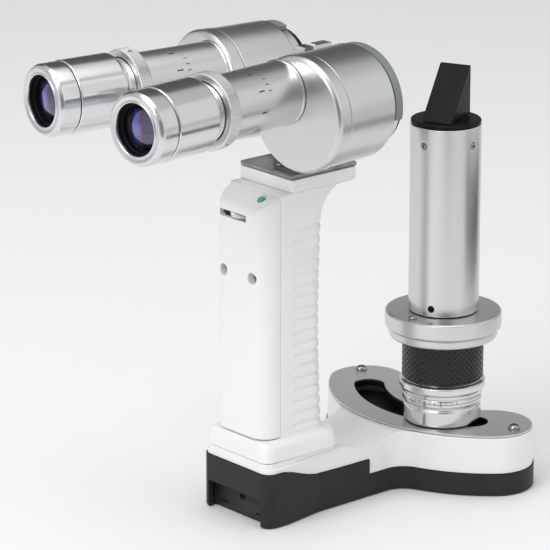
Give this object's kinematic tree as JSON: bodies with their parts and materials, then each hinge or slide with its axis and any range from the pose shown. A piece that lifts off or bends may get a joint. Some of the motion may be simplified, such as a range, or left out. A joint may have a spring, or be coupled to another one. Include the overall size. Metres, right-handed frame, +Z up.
{
  "type": "hand-held slit lamp",
  "caption": "Hand-held slit lamp: twin convergent eyepieces on a ribbed battery grip, and an upright light column that swings along an arc slot in a crescent base.",
  "frame": {"origin": "underside of the tray, on the grip's plane of symmetry, below the middle of the microscope head", "axes": "+X is the operator's right, +Y points from the operator to the patient, +Z is up"},
  "size_m": [0.131, 0.2322, 0.2293],
  "materials": {
    "white_plastic": "white moulded plastic, slightly glossy",
    "charcoal_plastic": "dark grey moulded plastic, fine grain",
    "satin_aluminium": "satin anodised aluminium",
    "polished_chrome": "polished and plated aluminium",
    "black_metal": "black anodised",
    "steel_plate": "brushed steel",
    "dark_steel": "dark polished steel",
    "lens_glass": "coated optical glass",
    "green_lens": "green translucent plastic",
    "board_green": "printed circuit board",
    "cell_wrap": "shrink wrap over a lithium cell",
    "contact_brass": "plated brass"
  },
  "bodies": {
    "base": {"bottom_tray": "charcoal_plastic", "base_shell": "white_plastic", "grip_body": "white_plastic", "rear_cover": "white_plastic", "crescent_plate": "steel_plate", "plate_screw_left": "polished_chrome", "plate_screw_right": "polished_chrome", "cover_screw_left": "steel_plate", "cover_screw_right": "steel_plate", "indicator_led": "green_lens", "circuit_board": "board_green", "battery_cell": "cell_wrap", "battery_contact": "contact_brass", "charging_jack": "contact_brass", "head_plate": "dark_steel", "head_plate_screw": "polished_chrome", "under_head_screw_left": "dark_steel", "under_head_screw_right": "dark_steel", "rear_bracket": "dark_steel", "bracket_spacer": "white_plastic", "front_bridge": "satin_aluminium"},
    "brightness_wheel_body": {"brightness_wheel": "steel_plate"},
    "drum_right": {"drum_housing_right": "satin_aluminium", "drum_cap_right": "satin_aluminium", "porro_prism_right": "lens_glass", "objective_lens_right": "lens_glass", "objective_cell_right": "black_metal", "eyepiece_tube_right": "satin_aluminium"},
    "diopter_right": {"diopter_ring_right": "satin_aluminium"},
    "eyepiece_right": {"eyepiece_barrel_right": "polished_chrome", "eyepiece_cap_right": "polished_chrome", "eye_lens_right": "lens_glass"},
    "drum_left": {"drum_housing_left": "satin_aluminium", "drum_cap_left": "satin_aluminium", "porro_prism_left": "lens_glass", "objective_lens_left": "lens_glass", "objective_cell_left": "black_metal", "eyepiece_tube_left": "satin_aluminium"},
    "diopter_left": {"diopter_ring_left": "satin_aluminium"},
    "eyepiece_left": {"eyepiece_barrel_left": "polished_chrome", "eyepiece_cap_left": "polished_chrome", "eye_lens_left": "lens_glass"},
    "lamp": {"lamp_carriage": "steel_plate", "lamp_collar": "polished_chrome", "lamp_disk": "satin_aluminium", "disk_screw": "polished_chrome", "light_tube": "satin_aluminium", "tube_screw_left": "steel_plate", "tube_screw_right": "steel_plate", "tube_screw_low": "black_metal", "tube_cap": "black_metal", "prism_head": "black_metal", "mirror_prism": "lens_glass", "lamp_led": "satin_aluminium", "condenser_lens": "lens_glass", "projection_lens": "lens_glass"},
    "slit_control": {"slit_ring": "black_metal"},
    "filter_control": {"filter_ring": "satin_aluminium"}
  },
  "joints": [
    {"name": "brightness_turn", "type": "hinge", "parent": "base", "child": "brightness_wheel_body", "pos_m": [-0.001, -0.0274, 0.1481], "axis": [0, 0, 1], "range_deg": [-135, 135]},
    {"name": "pupil_distance_right", "type": "hinge", "parent": "base", "child": "drum_right", "pos_m": [0.04244, -0.1221, 0.202], "axis": [-0.0974, 0.9952, 0], "range_deg": [-35, 33]},
    {"name": "diopter_turn_right", "type": "hinge", "parent": "drum_right", "child": "diopter_right", "pos_m": [0.03364, -0.1221, 0.2112], "axis": [-0.0974, 0.9952, 0], "range_deg": [-151, 151]},
    {"name": "eyepiece_focus_right", "type": "slide", "parent": "drum_right", "child": "eyepiece_right", "axis": [-0.0974, 0.9952, 0], "range_m": [-0.0021, 0.0021]},
    {"name": "pupil_distance_left", "type": "hinge", "parent": "base", "child": "drum_left", "pos_m": [-0.04244, -0.1221, 0.202], "axis": [0.0974, 0.9952, 0], "range_deg": [-33, 35]},
    {"name": "diopter_turn_left", "type": "hinge", "parent": "drum_left", "child": "diopter_left", "pos_m": [-0.03364, -0.1221, 0.2112], "axis": [0.0974, 0.9952, 0], "range_deg": [-151, 151]},
    {"name": "eyepiece_focus_left", "type": "slide", "parent": "drum_left", "child": "eyepiece_left", "axis": [0.0974, 0.9952, 0], "range_m": [-0.0021, 0.0021]},
    {"name": "lamp_swing", "type": "hinge", "parent": "base", "child": "lamp", "pos_m": [0, 0.126, 0.03], "axis": [0, 0, 1], "range_deg": [-54, 6]},
    {"name": "slit_width_turn", "type": "hinge", "parent": "lamp", "child": "slit_control", "pos_m": [0.02278, 0.07484, 0.0625], "axis": [0, 0, 1], "range_deg": [-140, 140]},
    {"name": "filter_turn", "type": "hinge", "parent": "lamp", "child": "filter_control", "pos_m": [0.02278, 0.07484, 0.0753], "axis": [0, 0, 1], "range_deg": [-144, 144]}
  ],
  "couplings": [
    {"joint": "diopter_turn_right", "follows": "eyepiece_focus_right", "rad_per_m": 1250},
    {"joint": "diopter_turn_left", "follows": "eyepiece_focus_left", "rad_per_m": 1250},
    {"joint": "pupil_distance_left", "follows": "pupil_distance_right", "ratio": -1}
  ]
}
